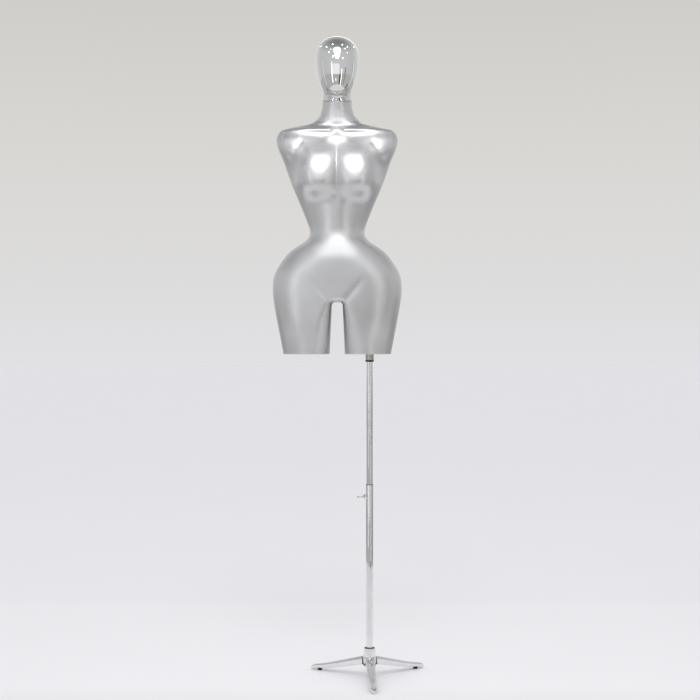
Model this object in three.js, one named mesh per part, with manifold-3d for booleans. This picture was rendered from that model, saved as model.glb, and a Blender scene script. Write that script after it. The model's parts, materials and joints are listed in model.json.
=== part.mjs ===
// Headed half-body display form on a height-adjustable tripod pole.
// Millimetres, +Z up, the form faces -Y. The stand is drawn about the pole's axis, the body
// about its own centre line beside that axis, and the finished group is then moved so that
// the origin is the middle of its footprint on the floor.
import * as THREE from "three";
import { mergeVertices } from "three/addons/utils/BufferGeometryUtils.js";
import Module from "manifold-3d";

const wasm = await Module();
wasm.setup();

// ------------------------------------------------------------------ driving dimensions, mm
const GAP = 0.3; // clearance between two pieces that rest against each other
const ROUND = 16; // sides of a small turned piece
const POLE_SIDES = 24;
const degrees = THREE.MathUtils.degToRad;

// Body and head shells
const BODY_OFFSET = -109; // the body's centre line, measured in x from the pole's axis
const BODY_WALL = 4;
const HEAD_WALL = 3;
const THIGH_END = 1086; // flat lower ends of the two thighs
const CROTCH = 1256;
const THIGH_GAP = { lowest: 25.5, highest: 18.5, top: 1252 }; // half widths between the thighs
const THIGH_ROUNDING = { lowest: 96, highest: 26 }; // how broadly the inner edges are rounded
const BREAST = { centre: [63, -62, 1664], radii: [58, 66, 60], blend: 26 };
const BUTTOCK = { centre: [75, 70, 1300], radii: [88, 76, 95], blend: 36 };
const BODY_SIDES = 32;
const THIGH_SIDES = 20;
const HEAD_SIDES = 24;
// The head is an egg, broadest at one height; a fullness of 2 would make it two half ellipsoids
const HEAD = {
  chin: 1937, widest: 2076, crown: 2148.4, halfWidth: 73.1, halfDepth: 95, fullness: 2.3,
};
const RING_STEP = 33; // spacing of the body's cross-sections below the shoulders
const SHOULDER = 1785; // above this height the cross-sections are those of BODY_SECTIONS
const CAP_THICKNESS = 4.2;

// Neck joint: a flat, round cut that leans forward
const NECK_RADIUS = 48.6;
const NECK_CENTRE = new THREE.Vector3(0, 2, 1935);
const NECK_LEAN = degrees(12.7);
const NECK_SEAM = 0.6; // open line between body and head
const COLLAR = { radius: 47.4, top: 33, bore: 45.6, boreTop: 20 }; // round stub under the head

// Pole
const LOWER_POLE = { outer: 12, inner: 10.9, bottom: 50.3, top: 646 };
const UPPER_POLE = { outer: 10.4, inner: 9.4, bottom: 516, top: 1208 };
const GUIDE_SEAT = { radius: 11.6, depth: 12.5 };
const GUIDE_RING = { play: 0.2, fit: 0.25, depth: 12, lip: 12.3, lipHeight: 3.3 };
const FOOT_BUSH = { play: 0.15, wall: 1.5, below: 10, above: 14 };
const TOP_CAP = { depth: 12, height: 4 };

// Tripod base
const LEG_ANGLES = { front: -87, right: 33, left: 153 }; // degrees about the pole from +X
const HUB = { radius: 22.8, bottom: 46, shoulder: 66, collar: 19.3, top: 97, floor: 50 };
const TONGUE = { from: 8, to: 30, halfWidth: 10, bottom: 41, top: 45.7 };
const BASE_PLATE = { radius: 22, bottom: 36.5, top: 40.7 };
const LEG_SCREW = { reach: 16, shank: 2.5, head: 4.3, bottom: 32.5, top: 56 };
const POLE_BOLT = { shank: 3.9, head: 13, bottom: 28, headTop: 35, top: 61, washer: 9 };
const SEAT_RING = { width: 4.4, depth: 5, proud: 1 }; // closes the hub round the pole
// The groove along a leg: its share of the half width at the toe, how much more at the hub, the
// reach where it starts to open and over what length, and its slope.
const GROOVE = { toe: 0.06, more: 0.64, end: 210, length: 190, slope: 0.62 };
const BEVEL = { shoulder: 0.2, foot: 0.1, underside: 0.85 }; // shares of a leg's height and width
const PAD = { reach: 190, radius: 8, height: 8.7 };

// Height clamp
const CLAMP = { angle: 205, height: 607.5, boss: 7.5, bossEnd: 20, screw: 2.7 };
const CLAMP_PAD = { radius: 4.7, from: 10.75, to: 14.2, pocket: 15.8 };
const WING = { from: 24, to: 43.5, halfWidth: 8, thickness: 3.4, lip: 5, lipWidth: 2.5, corner: 2 };
const WING_NECK = { radius: 4, from: 21.8, overlap: 3 };

// Socket in the thigh that drops over the pole
const SOCKET = { outer: 13.75, inner: 10.8, bottom: 1066, top: 1216 };
const SOCKET_FLANGE = { radius: 38, bottom: 1090.7, top: 1093.7 };
const SOCKET_PLUG = { skirt: 3.4, cap: 5 };
const GASKET_HEIGHT = 6;
const SOCKET_SCREW = { reach: 28, shank: 2, head: 3.6, headHeight: 2.2, top: 1097 };

// Body cross-sections: height, half width, depth to the front, depth to the back, and how
// much thinner (or, when negative, fuller) the section gets towards its sides.
const BODY_SECTIONS = [
  [1060, 176, 78, 88, -0.15],
  [1086, 180.6, 80, 90, -0.15],
  [1140, 190.8, 86, 98, -0.15],
  [1200, 202.3, 94, 108, -0.15],
  [1250, 211.2, 98, 116, -0.12],
  [1306, 216.9, 99, 120, -0.1],
  [1350, 211, 100, 119, -0.05],
  [1400, 183, 98, 112, 0],
  [1440, 143.5, 90, 96, 0],
  [1466, 104.5, 82, 82, -0.05],
  [1494, 91.2, 76, 72, -0.1],
  [1520, 97.4, 78, 72, -0.1],
  [1600, 129.6, 90, 84, -0.05],
  [1680, 162, 95, 98, 0],
  [1740, 183.5, 88, 106, 0],
  [1785, 201, 75, 107, 0],
  [1803, 203, 68, 105, 0.05],
  [1822, 197, 59, 100, 0.15],
  [1834, 184.5, 53, 94, 0.25],
  [1844, 154, 48, 88, 0.3],
  [1858, 91.5, 43, 79, 0.3],
  [1871, 71.7, 41, 72, 0.2],
  [1884, 59.3, 41, 66, 0.1],
  [1898, 53.8, 42, 61, 0],
  [1915, 50.2, 44.5, 56.5, 0],
  [1935, 49.2, 48, 52, 0],
  [1960, 49.2, 53, 47, 0],
];

// One leg of the tripod: reach from the pole's axis, half width, underside, top.
const LEG_SECTIONS = [
  [20, 16.6, 41.4, 66.4],
  [60, 15.6, 32.5, 55.6],
  [100, 14.4, 23.5, 44.4],
  [131, 13.5, 17, 35.8],
  [160, 12.2, 10.5, 28.2],
  [180, 11.2, 9.2, 22.8],
  [200, 10.2, 9, 17.6],
  [212, 8.2, 5, 13.2],
  [219, 5.2, 2.5, 9],
  [222, 2, 2.2, 5.5],
];

// ------------------------------------------------------------------ materials
function finish(color, roughness, metalness) {
  return new THREE.MeshStandardMaterial({ color, roughness, metalness });
}
const SILVER = finish("#a9aaab", 0.28, 0.9);
const MIRROR_CHROME = finish("#d8d9dc", 0.04, 1);
const CHROME = finish("#c9cacd", 0.1, 1);
const STEEL = finish("#9c9a94", 0.35, 1);
const BRONZED = finish("#a8a091", 0.3, 1);
const RUBBER = finish("#141414", 0.8, 0);
const BLACK_PLASTIC = finish("#1b1b1d", 0.5, 0);
const BOARD = finish("#8d8f92", 0.6, 0);
const MAGNET = finish("#5c5d60", 0.4, 1);

// ------------------------------------------------------------------ solids
// A closed manifold solid from a three.js geometry, turned face-outward if need be.
function solidOf(geometry) {
  const bare = geometry.clone();
  bare.deleteAttribute("normal");
  bare.deleteAttribute("uv");
  const merged = mergeVertices(bare, 1e-4);
  const vertProperties = merged.attributes.position.array;
  const index = merged.index.array;
  const kept = [];
  for (let i = 0; i < index.length; i += 3) {
    const [a, b, c] = [index[i], index[i + 1], index[i + 2]];
    if (a !== b && b !== c && c !== a) kept.push(a, b, c);
  }
  const build = (triangles) =>
    new wasm.Manifold(new wasm.Mesh({ numProp: 3, vertProperties, triVerts: triangles }));
  const solid = build(new Uint32Array(kept));
  return solid.volume() < 0 ? build(new Uint32Array(kept.reverse())) : solid;
}

function geometryOf(solid) {
  const mesh = solid.getMesh();
  const geometry = new THREE.BufferGeometry();
  geometry.setAttribute("position", new THREE.BufferAttribute(mesh.vertProperties, 3));
  geometry.setIndex(new THREE.BufferAttribute(mesh.triVerts, 1));
  const faceted = geometry.toNonIndexed();
  faceted.computeVertexNormals();
  return faceted;
}

function piece(name, material, solid) {
  const mesh = new THREE.Mesh(geometryOf(solid), material);
  mesh.name = name;
  return mesh;
}

// A body of revolution about +Z from [radius, height] points.
function turned(points, sides = ROUND) {
  const profile = points.map(([radius, height]) => new THREE.Vector2(radius, height));
  return new THREE.LatheGeometry(profile, sides).rotateX(Math.PI / 2);
}

function disc(radius, bottom, top, sides = ROUND) {
  return turned([[0, bottom], [radius, bottom], [radius, top], [0, top]], sides);
}

function ring(inner, outer, bottom, top, sides = ROUND) {
  const corners = [[inner, bottom], [outer, bottom], [outer, top], [inner, top]];
  return turned([...corners, corners[0]], sides);
}

// A rod along +X between two reaches, at height zero.
function rod(radius, from, to, sides = ROUND) {
  return disc(radius, from, to, sides).rotateY(Math.PI / 2);
}

function block(x0, x1, y0, y1, z0, z1) {
  const box = new THREE.BoxGeometry(x1 - x0, y1 - y0, z1 - z0);
  return box.translate((x0 + x1) / 2, (y0 + y1) / 2, (z0 + z1) / 2);
}

function hexagon(acrossFlats, bottom, top) {
  return disc(acrossFlats / Math.sqrt(3), bottom, top, 6);
}

// A closed skin through rings of equal length, with a fan of triangles over each end.
function loft(rings) {
  const count = rings[0].length;
  const points = rings.flat();
  const triangles = [];
  for (let level = 0; level + 1 < rings.length; level += 1) {
    for (let i = 0; i < count; i += 1) {
      const a = level * count + i;
      const b = level * count + ((i + 1) % count);
      triangles.push(a, b, b + count, a, b + count, a + count);
    }
  }
  const last = (rings.length - 1) * count;
  for (const [start, rim] of [[0, rings[0]], [last, rings[rings.length - 1]]]) {
    const centre = rim.reduce((sum, p) => sum.add(p), new THREE.Vector3());
    points.push(centre.divideScalar(count));
    for (let i = 0; i < count; i += 1) {
      const [a, b] = [start + i, start + ((i + 1) % count)];
      triangles.push(...(start === 0 ? [b, a, points.length - 1] : [a, b, points.length - 1]));
    }
  }
  return new THREE.BufferGeometry().setFromPoints(points).setIndex(triangles);
}

// ------------------------------------------------------------------ body form
function through(sections) {
  const heights = sections.map((section) => section[0]);
  const values = sections.flatMap((section) => section.slice(1));
  const curve = new THREE.CubicInterpolant(heights, values, sections[0].length - 1);
  return (height) => Array.from(curve.evaluate(height));
}
const bodySection = through(BODY_SECTIONS);

// Signed, roughly distance-like functions: negative inside the form.
function softMin(a, b, reach) {
  const overlap = Math.max(reach - Math.abs(a - b), 0) / reach;
  return Math.min(a, b) - (overlap * overlap * reach) / 4;
}

function softMax(a, b, reach) {
  return -softMin(-a, -b, reach);
}

function ellipsoid(x, y, z, centre, radii) {
  const offset = [x - centre[0], y - centre[1], z - centre[2]];
  const scaled = Math.hypot(...offset.map((value, i) => value / radii[i]));
  return Math.hypot(...offset) * (1 - 1 / scaled);
}

function trunk(x, y, z) {
  const [halfWidth, front, back, taper] = bodySection(z);
  const middle = (back - front) / 2;
  const side = Math.min((x / halfWidth) ** 2, 1.6);
  const halfDepth = ((front + back) / 2) * (1 - taper * side);
  const scaled = Math.hypot(x / halfWidth, (y - middle) / halfDepth);
  const torso = Math.hypot(x, y - middle) * (1 - 1 / scaled);
  return [BREAST, BUTTOCK].reduce((form, { centre, radii, blend }) =>
    softMin(form, ellipsoid(Math.abs(x), y, z, centre, radii), blend), torso);
}

function thighGap(z) {
  const { lowest, highest, top } = THIGH_GAP;
  return THREE.MathUtils.mapLinear(z, THIGH_END, top, lowest, highest);
}

// The inner edges of the thighs are broadly rounded below and sharper near the crotch.
function thigh(x, y, z) {
  const { lowest, highest } = THIGH_ROUNDING;
  const rounding = THREE.MathUtils.mapLinear(z, THIGH_END, CROTCH, lowest, highest);
  return softMax(trunk(x, y, z), thighGap(z) - x, rounding);
}

// The outline of a form at one height, as points on rays from a middle point, all moved
// inward by inset.
function outline(form, z, middle, halfWidth, halfDepth, sides, inset) {
  const points = [];
  for (let i = 0; i < sides; i += 1) {
    const turn = (2 * Math.PI * i) / sides;
    const ray = new THREE.Vector2(halfWidth * Math.cos(turn), halfDepth * Math.sin(turn));
    ray.normalize();
    let [inside, outside] = [0.5, 320];
    while (outside - inside > 0.01) {
      const reach = (inside + outside) / 2;
      if (form(middle.x + ray.x * reach, middle.y + ray.y * reach, z) < 0) inside = reach;
      else outside = reach;
    }
    const reach = inside - inset;
    points.push(new THREE.Vector3(middle.x + ray.x * reach, middle.y + ray.y * reach, z));
  }
  return points;
}

function trunkRing(z, inset) {
  const [halfWidth, front, back] = bodySection(z);
  const middle = new THREE.Vector2(0, (back - front) / 2);
  return outline(trunk, z, middle, halfWidth, (front + back) / 2, BODY_SIDES, inset);
}

function thighRing(z, inset) {
  const [halfWidth, front, back] = bodySection(z);
  const middle = new THREE.Vector2((halfWidth + thighGap(z)) / 2, (back - front) / 2);
  const halfSpan = (halfWidth - thighGap(z)) / 2;
  return outline(thigh, z, middle, halfSpan, (front + back) / 2, THIGH_SIDES, inset);
}

function trunkHeights(bottom) {
  const count = Math.round((SHOULDER - bottom) / RING_STEP);
  const even = Array.from({ length: count }, (_, i) => bottom + (i * (SHOULDER - bottom)) / count);
  return [...even, ...BODY_SECTIONS.map((section) => section[0]).filter((z) => z >= SHOULDER)];
}

const THIGH_RINGS = [1125, 1165, 1205, 1240, 1262, 1285]; // heights above the cut end

// The full outer form, or the hollow inside it when inset is the wall thickness.
function bodyForm(inset) {
  const lift = inset > 0 ? 1 : 0; // the hollow runs out past each open end
  const body = solidOf(loft(trunkHeights(CROTCH + inset).map((z) => trunkRing(z, inset))));
  const heights = [THIGH_END - lift, ...THIGH_RINGS];
  const thighLoft = loft(heights.map((z) => thighRing(z, inset)));
  const mirrored = thighLoft.clone().scale(-1, 1, 1);
  return body.add(solidOf(thighLoft)).add(solidOf(mirrored));
}

function inNeck(geometry) {
  return geometry.rotateX(NECK_LEAN).translate(...NECK_CENTRE.toArray());
}

// A block about the neck's axis, wider than the neck and shoulders, between two heights.
function neckSlab(halfSide, bottom, top) {
  return solidOf(inNeck(block(-halfSide, halfSide, -halfSide, halfSide, bottom, top)));
}

function torsoShell() {
  const aboveNeck = neckSlab(150, 0, 200);
  return bodyForm(0).subtract(aboveNeck).subtract(bodyForm(BODY_WALL));
}

function thighCap(side, holes) {
  const inset = BODY_WALL + 2 * GAP;
  const plate = loft([THIGH_END, THIGH_END + CAP_THICKNESS].map((z) =>
    thighRing(THIGH_END, inset).map((point) => point.setZ(z))));
  return holes.reduce((cap, hole) => cap.subtract(hole), solidOf(plate.scale(side, 1, 1)));
}

// ------------------------------------------------------------------ head
// Levels of the egg's rings: -1 is the chin, 0 the widest ring and 1 the crown.
const HEAD_LEVELS = [
  -0.985, -0.94, -0.86, -0.74, -0.58, -0.38, -0.16, 0, 0.28, 0.54, 0.75, 0.9, 0.97, 0.995,
];

// How far back an egg ring's middle lies, by its height over the widest ring: the egg bends
// forward towards its chin.
function headMiddle(rise) {
  return 2 + 0.13 * rise - 0.0006 * rise * rise;
}

function headRing(level, inset) {
  const { chin, widest, crown, halfWidth, halfDepth, fullness } = HEAD;
  const reach = level < 0 ? widest - chin : crown - widest;
  const rise = level * reach;
  const size = Math.sqrt(1 - Math.abs(level) ** fullness);
  return Array.from({ length: HEAD_SIDES }, (_, i) => {
    const turn = (2 * Math.PI * i) / HEAD_SIDES;
    const x = (halfWidth - inset) * size * Math.cos(turn);
    const y = headMiddle(rise) + (halfDepth - inset) * size * Math.sin(turn);
    return new THREE.Vector3(x, y, widest + level * (reach - inset));
  });
}

function headEgg(inset) {
  return solidOf(loft(HEAD_LEVELS.map((level) => headRing(level, inset))));
}

function headShell() {
  const { radius, top, bore, boreTop } = COLLAR;
  const profile = [[0, NECK_SEAM], [NECK_RADIUS, NECK_SEAM], [radius, top], [0, top]];
  const stub = turned(profile, HEAD_SIDES);
  const opening = disc(bore, 0, boreTop, HEAD_SIDES);
  const outer = headEgg(0).add(solidOf(inNeck(stub)));
  return outer.subtract(solidOf(inNeck(opening))).subtract(headEgg(HEAD_WALL));
}

// ------------------------------------------------------------------ neck fittings
// Heights here are measured along the neck's own axis, up from the cut.
const NECK_PLATE = { bottom: -4.6, top: -0.5, hole: 5.3 };
const HEAD_PLATE = { radius: 45.2, bottom: 1, top: 5, hole: 11.3 };
const NECK_RING = { inner: 12, outer: 20 }; // magnet below, steel striker above
const MAGNET_TOP = -0.4;
const RING_THICKNESS = 3.1;
const STRIKER_TOP = 2.9;
const SPIGOT = { thread: 5, pin: 7.5, foot: -14, shoulder: -0.2, tip: 24, point: 1.5, taper: 2 };
const SPIGOT_NUT = { acrossFlats: 16, height: 5.1 };
const HEAD_BUSH = {
  inner: 7.8, outer: 11, flange: 13.5, bottom: 1, seat: 5.3, flangeTop: 7, top: 15,
};

// Closes the neck's hollow just below the cut.
function neckPlate() {
  const reach = 70; // past the neck's outside on every side
  const slab = solidOf(block(-reach, reach, -reach, reach, NECK_PLATE.bottom, NECK_PLATE.top));
  const hollow = geometryOf(bodyForm(BODY_WALL + GAP));
  hollow.translate(...NECK_CENTRE.clone().negate().toArray()).rotateX(-NECK_LEAN);
  const pocket = MAGNET_TOP - RING_THICKNESS - GAP;
  const recess = ring(NECK_RING.inner - GAP, NECK_RING.outer + GAP, pocket, 1);
  const hole = disc(NECK_PLATE.hole, NECK_PLATE.bottom - 1, 1);
  return slab.intersect(solidOf(hollow)).subtract(solidOf(recess)).subtract(solidOf(hole));
}

function headPlate() {
  const { radius, bottom, top, hole } = HEAD_PLATE;
  const plate = solidOf(disc(radius, bottom, top, HEAD_SIDES));
  const recess = disc(NECK_RING.outer + GAP, 0, STRIKER_TOP + GAP);
  return plate.subtract(solidOf(recess)).subtract(solidOf(disc(hole, 0, top + 1)));
}

// A stepped pin through the neck plate, with its nut below and the head's bush over it.
function spigotPieces() {
  const { thread, pin, foot, shoulder, tip, point, taper } = SPIGOT;
  const profile = [[0, foot], [thread, foot], [thread, shoulder], [pin, shoulder],
    [pin, tip - taper], [pin - point, tip], [0, tip]];
  const nutTop = NECK_PLATE.bottom - GAP;
  const nutBlank = solidOf(hexagon(SPIGOT_NUT.acrossFlats, nutTop - SPIGOT_NUT.height, nutTop));
  const nut = nutBlank.subtract(solidOf(disc(NECK_PLATE.hole, foot, 0)));
  const { inner, outer, flange, bottom, seat, flangeTop, top } = HEAD_BUSH;
  const bush = turned([[inner, bottom], [outer, bottom], [outer, seat], [flange, seat],
    [flange, flangeTop], [outer, flangeTop], [outer, top], [inner, top], [inner, bottom]]);
  return [
    piece("neck_spigot", STEEL, solidOf(turned(profile))),
    piece("spigot_nut", STEEL, nut),
    piece("head_bush", BLACK_PLASTIC, solidOf(bush)),
  ];
}

function neckFittings() {
  const { inner, outer } = NECK_RING;
  const magnet = ring(inner, outer, MAGNET_TOP - RING_THICKNESS, MAGNET_TOP);
  const striker = ring(inner, outer, HEAD_PLATE.bottom, STRIKER_TOP);
  const group = new THREE.Group();
  group.rotation.x = NECK_LEAN;
  group.position.copy(NECK_CENTRE);
  group.add(
    piece("neck_plate", BOARD, neckPlate()),
    piece("neck_magnet", MAGNET, solidOf(magnet)),
    piece("head_base_plate", BOARD, headPlate()),
    piece("head_striker_ring", STEEL, solidOf(striker)),
    ...spigotPieces(),
  );
  return group;
}

// ------------------------------------------------------------------ socket in the thigh
const SOCKET_SCREW_ANGLES = [45, 135, 225, 315].map(degrees);
const SOCKET_X = -BODY_OFFSET; // the pole's axis, seen from the body's centre line

function atSocket(geometry, angle = 0, reach = 0) {
  const [x, y] = [reach * Math.cos(angle), reach * Math.sin(angle)];
  return geometry.translate(SOCKET_X + x, y, 0);
}

function socketScrewHole(angle) {
  const { reach, shank, head, headHeight, top } = SOCKET_SCREW;
  const wide = head + GAP;
  const narrow = shank + GAP;
  const step = THIGH_END + headHeight + GAP;
  const low = THIGH_END - 1;
  const profile = [[0, low], [wide, low], [wide, step], [narrow, step], [narrow, top], [0, top]];
  return solidOf(atSocket(turned(profile, 12), angle, reach));
}

function socketScrew(angle) {
  const { reach, shank, head, headHeight, top } = SOCKET_SCREW;
  const low = THIGH_END + 0.1;
  const step = THIGH_END + headHeight;
  const profile = [[0, low], [head, low], [head, step], [shank, step], [shank, top], [0, top]];
  return solidOf(atSocket(turned(profile, 12), angle, reach));
}

function socketFlange() {
  const { radius, bottom, top } = SOCKET_FLANGE;
  const plate = solidOf(atSocket(ring(SOCKET.outer + GAP, radius, bottom, top)));
  return SOCKET_SCREW_ANGLES.reduce((flange, angle) =>
    flange.subtract(socketScrewHole(angle)), plate);
}

function socketPieces() {
  const { outer, inner, bottom, top } = SOCKET;
  const [foot, cap] = [top - SOCKET_PLUG.skirt, top + SOCKET_PLUG.cap];
  const plug = turned([[0, foot], [inner - GAP, foot], [inner - GAP, top + GAP],
    [outer, top + GAP], [outer, cap], [0, cap]]);
  const gasket = ring(inner, outer + GAP, bottom - GASKET_HEIGHT, bottom - GAP);
  const screws = SOCKET_SCREW_ANGLES.map((angle, i) =>
    piece(`socket_screw_${i + 1}`, STEEL, socketScrew(angle)));
  return [
    piece("socket_tube", BRONZED, solidOf(atSocket(ring(inner, outer, bottom, top)))),
    piece("socket_flange", STEEL, socketFlange()),
    piece("socket_end_plug", BLACK_PLASTIC, solidOf(atSocket(plug))),
    piece("socket_gasket", RUBBER, solidOf(atSocket(gasket))),
    ...screws,
  ];
}

function thighCaps() {
  const above = THIGH_END + CAP_THICKNESS + 1;
  const tubeHole = solidOf(atSocket(disc(SOCKET.outer + GAP, THIGH_END - 1, above)));
  const holes = [tubeHole, ...SOCKET_SCREW_ANGLES.map(socketScrewHole)];
  return [
    piece("thigh_cap_pole_side", SILVER, thighCap(1, holes)),
    piece("thigh_cap_free_side", SILVER, thighCap(-1, [])),
  ];
}

// ------------------------------------------------------------------ tripod base
function legScrewHole(angle) {
  const hole = disc(LEG_SCREW.shank + GAP, LEG_SCREW.bottom, LEG_SCREW.top + 1, 12);
  return solidOf(hole.translate(LEG_SCREW.reach, 0, 0).rotateZ(angle));
}

function legScrew(angle) {
  const { reach, shank, head, bottom, top } = LEG_SCREW;
  const seat = BASE_PLATE.bottom - GAP;
  const profile = [[0, bottom], [head, bottom], [head, seat], [shank, seat],
    [shank, top], [0, top]];
  return solidOf(turned(profile, 12).translate(reach, 0, 0).rotateZ(angle));
}

// Across one leg: flat sides, bevelled shoulders and a V groove that runs out at the toe.
function legRing([reach, halfWidth, bottom, top]) {
  const run = THREE.MathUtils.clamp((GROOVE.end - reach) / GROOVE.length, 0, 1);
  const groove = halfWidth * (GROOVE.toe + GROOVE.more * run);
  const valley = top - GROOVE.slope * groove * run;
  const edge = top - (top - bottom) * BEVEL.shoulder;
  const foot = bottom + (top - bottom) * BEVEL.foot;
  const under = halfWidth * BEVEL.underside;
  const half = [[groove, top], [halfWidth, edge], [halfWidth, foot], [under, bottom]];
  const mirrored = half.map(([y, z]) => [-y, z]).reverse();
  const around = [[0, valley], ...half, ...mirrored];
  return around.map(([y, z]) => new THREE.Vector3(reach, y, z));
}

function tripodLeg(angle) {
  const { from, to, halfWidth, bottom, top } = TONGUE;
  const arm = solidOf(loft(LEG_SECTIONS.map(legRing)).rotateZ(angle));
  const above = HUB.shoulder + 9; // higher than the leg
  const hubSpace = solidOf(disc(HUB.radius + GAP, TONGUE.top, above, POLE_SIDES));
  const tongue = solidOf(block(from, to, -halfWidth, halfWidth, bottom, top).rotateZ(angle));
  return arm.subtract(hubSpace).add(tongue).subtract(legScrewHole(angle));
}

function footPad(angle) {
  const { radius, height, reach } = PAD;
  const shape = turned([[0, 0], [radius - 1, 0], [radius, 1], [radius - 1, height], [0, height]]);
  return solidOf(shape.translate(reach, 0, 0).rotateZ(angle));
}

function hubBody(angles) {
  const { radius, bottom, shoulder, collar, top, floor } = HUB;
  const bore = LOWER_POLE.outer + GAP;
  const boltHole = POLE_BOLT.shank + GAP;
  const seat = bore + SEAT_RING.width;
  const ledge = top - SEAT_RING.depth;
  const edge = 1.5; // bevel round the top
  const casting = turned([
    [boltHole, bottom], [radius, bottom], [radius, shoulder - 1], [radius - 1, shoulder],
    [collar + 0.8, shoulder], [collar, shoulder + 1], [collar, top - edge], [collar - edge, top],
    [seat, top], [seat, ledge], [bore, ledge], [bore, floor], [boltHole, floor],
    [boltHole, bottom],
  ], POLE_SIDES);
  return angles.reduce((hub, angle) => hub.subtract(legScrewHole(angle)), solidOf(casting));
}

function basePlate(angles) {
  const { radius, bottom, top } = BASE_PLATE;
  const plate = solidOf(ring(POLE_BOLT.shank + GAP, radius, bottom, top, POLE_SIDES));
  return angles.reduce((left, angle) => left.subtract(legScrewHole(angle)), plate);
}

function poleBolt() {
  const { shank, head, bottom, headTop, top } = POLE_BOLT;
  return solidOf(hexagon(head, bottom, headTop)).add(solidOf(disc(shank, headTop - 1, top)));
}

function tripodPieces() {
  const angles = Object.values(LEG_ANGLES).map(degrees);
  const perLeg = Object.entries(LEG_ANGLES).flatMap(([side, angle]) => [
    piece(`leg_${side}`, CHROME, tripodLeg(degrees(angle))),
    piece(`foot_pad_${side}`, RUBBER, footPad(degrees(angle))),
    piece(`leg_screw_${side}`, STEEL, legScrew(degrees(angle))),
  ]);
  const boltHole = POLE_BOLT.shank + GAP;
  const underPlate = BASE_PLATE.bottom - GAP;
  const washer = ring(boltHole, POLE_BOLT.washer, POLE_BOLT.headTop + GAP, underPlate);
  const nut = ring(boltHole, LOWER_POLE.inner - GAP, HUB.floor + 1, POLE_BOLT.top + 2);
  const { width, depth, proud } = SEAT_RING;
  const pole = LOWER_POLE.outer;
  const seatRing = ring(pole + GAP, pole + width, HUB.top - depth + GAP, HUB.top + proud);
  return [
    piece("hub_body", CHROME, hubBody(angles)),
    piece("pole_seat_ring", BLACK_PLASTIC, solidOf(seatRing)),
    piece("base_plate", STEEL, basePlate(angles)),
    piece("pole_bolt", STEEL, poleBolt()),
    piece("pole_bolt_washer", STEEL, solidOf(washer)),
    piece("pole_nut", STEEL, solidOf(nut)),
    ...perLeg,
  ];
}

// ------------------------------------------------------------------ pole and clamp
function atClamp(geometry) {
  return geometry.rotateZ(degrees(CLAMP.angle)).translate(0, 0, CLAMP.height);
}

// A hole with room for a round piece, from inside the pole out along the clamp's axis.
function clampBore(radius, end) {
  const start = 5;
  return solidOf(atClamp(rod(radius + GAP, start, end)));
}

function lowerPole() {
  const { outer, inner, bottom, top } = LOWER_POLE;
  const seat = top - GUIDE_SEAT.depth;
  const tube = turned([[inner, bottom], [outer, bottom], [outer, top], [GUIDE_SEAT.radius, top],
    [GUIDE_SEAT.radius, seat], [inner, seat], [inner, bottom]], POLE_SIDES);
  return solidOf(tube).subtract(clampBore(CLAMP_PAD.radius, CLAMP.bossEnd));
}

function guideRing() {
  const { play, fit, depth, lip, lipHeight } = GUIDE_RING;
  const bore = UPPER_POLE.outer + play;
  const skirt = GUIDE_SEAT.radius - fit;
  const rim = LOWER_POLE.top;
  const [low, high] = [rim - depth, rim + lipHeight];
  return solidOf(turned([[bore, low], [skirt, low], [skirt, rim + GAP], [lip, rim + GAP],
    [lip, high], [bore, high], [bore, low]], POLE_SIDES));
}

function upperPole() {
  const { outer, inner, bottom, top } = UPPER_POLE;
  return solidOf(ring(inner, outer, bottom, top, POLE_SIDES));
}

function poleFootBush() {
  const { inner, bottom } = UPPER_POLE;
  const lip = LOWER_POLE.inner - FOOT_BUSH.play;
  const skirt = inner - GAP;
  const bore = skirt - FOOT_BUSH.wall;
  const [low, high] = [bottom - FOOT_BUSH.below, bottom + FOOT_BUSH.above];
  return solidOf(turned([[bore, low], [lip - 1, low], [lip, low + 1], [lip, bottom - GAP],
    [skirt, bottom - GAP], [skirt, high], [bore, high], [bore, low]], POLE_SIDES));
}

function poleTopCap() {
  const { outer, inner, top } = UPPER_POLE;
  const skirt = inner - GAP;
  const [low, high] = [top - TOP_CAP.depth, top + TOP_CAP.height];
  return solidOf(turned([[0, low], [skirt, low], [skirt, top + GAP], [outer, top + GAP],
    [outer - 1, high], [0, high]]));
}

function clampBoss() {
  const { boss, bossEnd, screw, height } = CLAMP;
  const lug = solidOf(atClamp(rod(boss, LOWER_POLE.inner, bossEnd)));
  const [below, above] = [height - 2 * boss, height + 2 * boss];
  const tube = solidOf(disc(LOWER_POLE.outer + GAP, below, above, POLE_SIDES));
  const pocket = clampBore(CLAMP_PAD.radius, CLAMP_PAD.pocket);
  return lug.subtract(tube).subtract(pocket).subtract(clampBore(screw, bossEnd + 1));
}

function clampScrew() {
  const { from, to, halfWidth, thickness, lip, lipWidth, corner } = WING;
  const waist = halfWidth * 0.45;
  const [neck, swell] = [from + 4, from + 8];
  const blade = new THREE.Shape();
  blade.moveTo(from, -waist);
  blade.lineTo(neck, -waist);
  blade.quadraticCurveTo(swell, -halfWidth, to - corner, -halfWidth);
  blade.lineTo(to, corner - halfWidth);
  blade.lineTo(to, halfWidth - corner);
  blade.lineTo(to - corner, halfWidth);
  blade.quadraticCurveTo(swell, halfWidth, neck, waist);
  blade.lineTo(from, waist);
  const flat = new THREE.ExtrudeGeometry(blade, {
    depth: thickness, bevelEnabled: false, curveSegments: 6,
  }).translate(0, 0, -thickness / 2);
  const rimHalf = halfWidth - corner;
  const rim = block(to - lipWidth, to, -rimHalf, rimHalf, -lip / 2, lip / 2);
  const shank = rod(CLAMP.screw, CLAMP_PAD.to + GAP, from);
  const collar = rod(WING_NECK.radius, WING_NECK.from, from + WING_NECK.overlap);
  return [flat, rim, shank, collar].map((shape) => solidOf(atClamp(shape)))
    .reduce((screw, part) => screw.add(part));
}

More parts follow.
